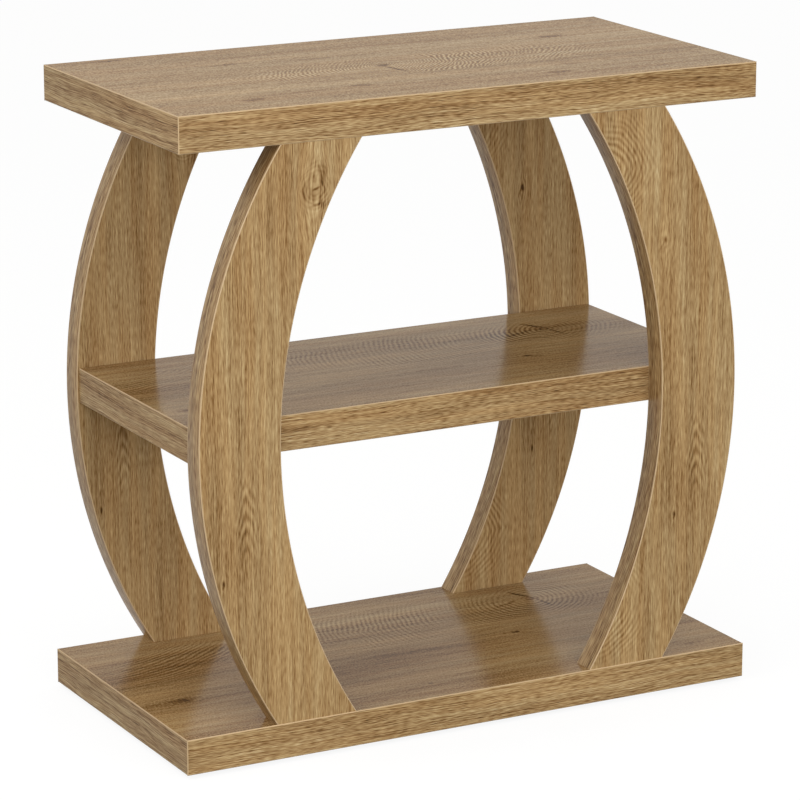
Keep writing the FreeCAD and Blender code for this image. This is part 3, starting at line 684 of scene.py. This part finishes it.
# Pressed melamine from a rougher plate: matt honey oak with fine upright hairlines.
left_leg_finish = faced("oak_melamine_left_legs", LEG_GRAIN, LEFT_CUT, **leg_decor)
right_leg_finish = faced("oak_melamine_right_legs", LEG_GRAIN, RIGHT_CUT, **leg_decor)
print(left_leg_finish.name, right_leg_finish.name)

# %% [markdown]
# ## Edge bands
#
# A band is a millimetre of ABS printed with the same oak and embossed with fine brushed lines,
# so the edges look coarser than the faces. The real lines are finer than a pixel of the
# picture, so they are drawn between a half and one and a half millimetres wide, to show. After
# gluing, the band's outer corners are scraped, and the scraper leaves a pale line along every
# arris. On the boards those corners are flat and slanting, so the normal finds them.

# %% Print and arris of a band
ARRIS = "#c8ac85"
EDGE_PORES = (6, 0.6, 0.1)
BAND_SWEEP = (130, 30, 60)
BAND_REACH = 3
BAND_ROUGHNESS = 0.4
BAND_RELIEF = 0.08
SQUARE_TO_AXIS = 0.9


def banded(name, grain_source, level, streaks, specular, on_arris):
    """A finish of printed ABS band: brushed lines along the grain, and a pale scraped arris."""
    material, tree = new_material(name)
    grain = grain_source(tree)
    wavy = wandering(tree, grain, BAND_SWEEP, BAND_REACH)
    tone = oak_tone(tree, wavy, level, streaks, EDGE_PORES)
    printed = oak_colour(tree, wavy, tone)
    scraped = add(tree, "ShaderNodeMix",
                  {0: on_arris(tree, grain), 6: printed, 7: linear(ARRIS)}, data_type="RGBA")
    satin_film(tree, scraped, tone, BAND_ROUGHNESS, specular, BAND_RELIEF)
    return material


def slanting(tree, grain):
    """1 where a face looks between two axes, as only the scraped arrises do."""
    normal = add(tree, "ShaderNodeNewGeometry").outputs["True Normal"]
    sizes = add(tree, "ShaderNodeVectorMath", [normal], operation="ABSOLUTE")
    axes = add(tree, "ShaderNodeSeparateXYZ", [sizes])
    level = add(tree, "ShaderNodeMath", [axes.outputs["X"], axes.outputs["Y"]],
                operation="MAXIMUM")
    squarest = add(tree, "ShaderNodeMath", [level, axes.outputs["Z"]], operation="MAXIMUM")
    return add(tree, "ShaderNodeMath", [squarest, SQUARE_TO_AXIS], operation="LESS_THAN")


print("bands: arrises are", ARRIS)

# %% Bands on the boards
FRONT_STREAKS = [(300, 9, 0.4), (70, 0.62, 0.9), (8, 0.6, 0.9)]
END_STREAKS = [(300, 9, 0.4), (140, 0.62, 0.8), (16, 0.6, 0.8)]
FRONT_LEVEL, END_LEVEL = 0.51, 0.48
BAND_SPECULAR = 0.12

# Printed ABS: a lively edge of light and dark lines between two pale arrises.
front_band = banded("oak_abs_front_band", lambda tree: grain_coordinates(tree, "XZY", (0, 0, 0)),
                    FRONT_LEVEL, FRONT_STREAKS, BAND_SPECULAR, slanting)
end_band = banded("oak_abs_end_band", lambda tree: grain_coordinates(tree, "YZX", (0, 0, 0)),
                  END_LEVEL, END_STREAKS, BAND_SPECULAR, slanting)
print(front_band.name, end_band.name)

# %% [markdown]
# ## Bent bands on the legs
#
# Both edges of a leg are arcs, and the band is bent round them. The CAD mesh shows such an arc
# as flat steps, and smooth shading would not mend its outline. So the band is drawn again as a
# profile carried along a path. The profile is the band's cut face, with two rounded arrises.

# %% Cut face of a bent band
LEG_THICKNESS = 25 * MM
BAND = 1 * MM
ROUND = 0.8 * MM
ROUND_POINTS = 5


def band_profile(half_width):
    """Closed outline of the cut face: distance from the glue face, and place across the leg.

    Two quarter circles round the corners of the shown face.
    """
    turn = np.linspace(0, np.pi / 2, ROUND_POINTS)
    out = BAND - ROUND + ROUND * np.sin(turn)
    across = half_width - ROUND + ROUND * np.cos(turn)
    depth = np.concatenate([[0], out, out[::-1], [0]])
    place = np.concatenate([[half_width], across, -across[::-1], [-half_width]])
    return depth, place


print(len(band_profile(LEG_THICKNESS / 2)[0]), "points round the cut face")

# %% [markdown]
# The path is the arc. Each point of the profile has its own radius, and its ends are where
# that radius meets the base and the top, so that both ends are cut level.

# %% Carry the cut face round an arc
LEG_RADIUS = 500 * MM
LEG_WIDEST = 303 * MM
STEPS = 120


def bent_points(side, low, high, centre, glue_radius, outwards):
    """Points of a band: x = centre + side r cos t, z = widest + r sin t; and its flat grain.

    r is the glue radius plus or minus the profile's depth, and t runs evenly between the
    angles at which z is the height of the foot and of the head. The flat grain is the way
    along the arc and the place across the leg.
    """
    depth, place = band_profile((high.y - low.y) / 2)
    radius = glue_radius + outwards * depth
    foot = np.arcsin((low.z - LEG_WIDEST) / radius)
    head = np.arcsin((high.z - LEG_WIDEST) / radius)
    share = np.linspace(0, 1, STEPS + 1)[:, None]
    angle = foot + share * (head - foot)
    x = centre + side * radius * np.cos(angle)
    y = np.broadcast_to((low.y + high.y) / 2 + place, angle.shape)
    z = LEG_WIDEST + radius * np.sin(angle)
    flat = np.stack([LEG_RADIUS * angle, np.broadcast_to(place, angle.shape)], axis=-1)
    return np.stack([x, y, z], axis=-1), flat


print(STEPS, "steps round an arc")

# %% [markdown]
# Quads join each cut face to the next one, and one face closes each end. The flat grain goes
# into a UV map, so that the print follows the bend, as it does on the real strip.

# %% Mesh of a bent band
SHARP_EDGE = math.radians(50)


def strip_faces(count, turned):
    """Quads between neighbouring cut faces of count points, and both ends, facing outwards."""
    ring, step = np.meshgrid(np.arange(count), np.arange(STEPS))
    after = (ring + 1) % count
    quads = np.stack([step * count + ring, step * count + after,
                      (step + 1) * count + after, (step + 1) * count + ring], axis=-1)
    ends = [list(range(count))[::-1], list(range(STEPS * count, (STEPS + 1) * count))]
    faces = quads.reshape(-1, 4).tolist() + ends
    return [face[::-1] for face in faces] if turned else faces


def band_object(name, points, flat, turned):
    """The points as one closed band, with its flat grain as a UV map."""
    mesh = bpy.data.meshes.new(name)
    mesh.from_pydata(points.reshape(-1, 3).tolist(), [], strip_faces(points.shape[1], turned))
    corner = np.empty(len(mesh.loops), np.int32)
    mesh.loops.foreach_get("vertex_index", corner)
    mesh.uv_layers.new(name="grain").data.foreach_set(
        "uv", flat.reshape(-1, 2)[corner].astype(np.float32).ravel())
    mesh.shade_smooth()
    mesh.set_sharp_from_angle(angle=SHARP_EDGE)
    mesh.validate()
    band = bpy.data.objects.new(name, mesh)
    bpy.context.scene.collection.objects.link(band)
    return band


print("a band has", len(strip_faces(len(band_profile(LEG_THICKNESS / 2)[0]), False)), "faces")

# %% [markdown]
# The bent bands have the same print as the straight ones. Their arrises are round, so they are
# found by their place across the leg, because a normal on a bend looks every way.

# %% Finish of the bent bands
LEG_EDGE_STREAKS = [(300, 12, 0.35), (60, 1.4, 0.8), (10, 1.2, 0.8)]
LEG_EDGE_LEVEL = 0.46
LEG_EDGE_SPECULAR = 0.26


def flat_grain(tree):
    """The band laid flat: along the arc, across the leg, in millimetres."""
    flat = add(tree, "ShaderNodeUVMap", uv_map="grain")
    return add(tree, "ShaderNodeVectorMath", [flat, (1 / MM,) * 3], operation="MULTIPLY")


def near_arris(tree, grain):
    """1 within the rounded width of either arris of the band."""
    across = add(tree, "ShaderNodeSeparateXYZ", [grain]).outputs["Y"]
    far = add(tree, "ShaderNodeMath", [across], operation="ABSOLUTE")
    inside = (LEG_THICKNESS / 2 - ROUND) / MM
    return add(tree, "ShaderNodeMath", [far, inside], operation="GREATER_THAN")


# Printed ABS: a darker, calmer edge that brightens where the bend turns to the light.
leg_band = banded("oak_abs_leg_band", flat_grain, LEG_EDGE_LEVEL, LEG_EDGE_STREAKS,
                  LEG_EDGE_SPECULAR, near_arris)
print(leg_band.name)

# %% Bend a band round each edge of each leg
LEG_WIDTH = 82 * MM

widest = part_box("leg_front_right_outer_band")[1].x
for rank in ("front", "back"):
    for side_name, side in (("left", -1), ("right", 1)):
        for edge, start, outwards in (("outer", widest, 1), ("inner", widest - LEG_WIDTH, -1)):
            node = f"leg_{rank}_{side_name}_{edge}_band"
            low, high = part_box(node)
            centre = side * (start - LEG_RADIUS)
            glue_radius = LEG_RADIUS - outwards * BAND
            points, flat = bent_points(side, low, high, centre, glue_radius, outwards)
            band = band_object(f"{node}_bent", points, flat, side * outwards > 0)
            band.data.materials.append(leg_band)
            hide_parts(node)
            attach(band, "root")
            print(band.name, len(band.data.polygons), "faces")

# %% [markdown]
# ## Fittings
#
# The fittings hide in the joints: steel cam bolts and screws, zinc cam locks, beech dowels
# and dark plastic glides on nails. Their shapes are right as they are, so they only need
# their finishes. One recipe of fine grit serves all four, because at this size each shows only
# its colour, its gloss and a little unevenness.

# %% Grit of a fitting
GRIT_LOW, GRIT_HIGH = 0.3, 0.7
GRIT_GLOSS = 0.08
GRIT_LIFT = 0.1 * MM


def fitting_finish(name, dark, light, metallic, roughness, size, bump):
    """A finish with fine uneven colour, gloss and lift from noise of a size in millimetres."""
    material, tree = new_material(name)
    grain = grain_coordinates(tree, "ZXY", (0, 0, 0))
    grit = add(tree, "ShaderNodeMath", [patches(tree, grain, size, 3.0), 0.5], operation="ADD")
    colour = add(tree, "ShaderNodeValToRGB", [grit],
                 stops=((GRIT_LOW, dark), (GRIT_HIGH, light)))
    gloss = add(tree, "ShaderNodeMapRange",
                {"Value": grit, "From Min": GRIT_LOW, "From Max": GRIT_HIGH,
                 "To Min": roughness - GRIT_GLOSS, "To Max": roughness + GRIT_GLOSS})
    lift = add(tree, "ShaderNodeBump", {"Height": grit, "Strength": bump, "Distance": GRIT_LIFT})
    surface = add(tree, "ShaderNodeBsdfPrincipled",
                  {"Base Color": colour, "Metallic": metallic, "Roughness": gloss, "Normal": lift})
    add(tree, "ShaderNodeOutputMaterial", {"Surface": surface})
    return material


print("grit between", GRIT_LOW, "and", GRIT_HIGH)

# %% Metal, beech and plastic
# Bright plating: a cool, clear shine with faint clouds.
zinc_plated_steel = fitting_finish("zinc_plated_steel", "#8f8f8c", "#c3c3bf", 1.0, 0.32,
                                   (1.5, 1.5, 1.5), 0.1)
# Tumbled casting: a duller grey with a fine pitted skin.
die_cast_zinc = fitting_finish("die_cast_zinc", "#8a8a88", "#b2b2b0", 1.0, 0.45,
                               (0.8, 0.8, 0.8), 0.35)
# Bare turned beech: pale, dry and pinkish, with short flecks along the dowel.
turned_beech = fitting_finish("turned_beech", "#b98f62", "#dcb98a", 0.0, 0.6,
                              (9, 0.8, 0.8), 0.4)
# Moulded polyethylene: dark and waxy, with the soft grain of the mould.
moulded_polyethylene = fitting_finish("moulded_brown_polyethylene", "#33261c", "#46362a", 0.0,
                                      0.5, (0.7, 0.7, 0.7), 0.25)
print("fittings: steel, zinc, beech, polyethylene")

# %% [markdown]
# ## Dress the pieces
#
# Each CAD piece keeps its mesh and gets the finish of its real material. A list by name is the
# plainest way, because it can be read beside the list of the table's pieces.

# %% Give each piece its finish
FINISHES = {
    "top_board": top_finish,
    "shelf_board": shelf_finish,
    "base_board": base_finish_with_painted_shade,
    "leg_front_left": left_leg_finish,
    "leg_back_left": left_leg_finish,
    "leg_front_right": right_leg_finish,
    "leg_back_right": right_leg_finish,
    "top_cam_bolts": zinc_plated_steel,
    "shelf_cam_bolts": zinc_plated_steel,
    "base_screws": zinc_plated_steel,
    "glide_nails": zinc_plated_steel,
    "top_cam_locks": die_cast_zinc,
    "shelf_cam_locks": die_cast_zinc,
    "top_dowels": turned_beech,
    "shelf_dowels": turned_beech,
    "base_dowels": turned_beech,
    "foot_glides": moulded_polyethylene,
}
for board in ("top", "shelf", "base"):
    for edge, finish in (("front", front_band), ("back", front_band),
                         ("left", end_band), ("right", end_band)):
        FINISHES[f"{board}_band_{edge}"] = finish
for name, finish in FINISHES.items():
    nodes[name].data.materials.clear()
    nodes[name].data.materials.append(finish)
print(len(FINISHES), "CAD pieces dressed")
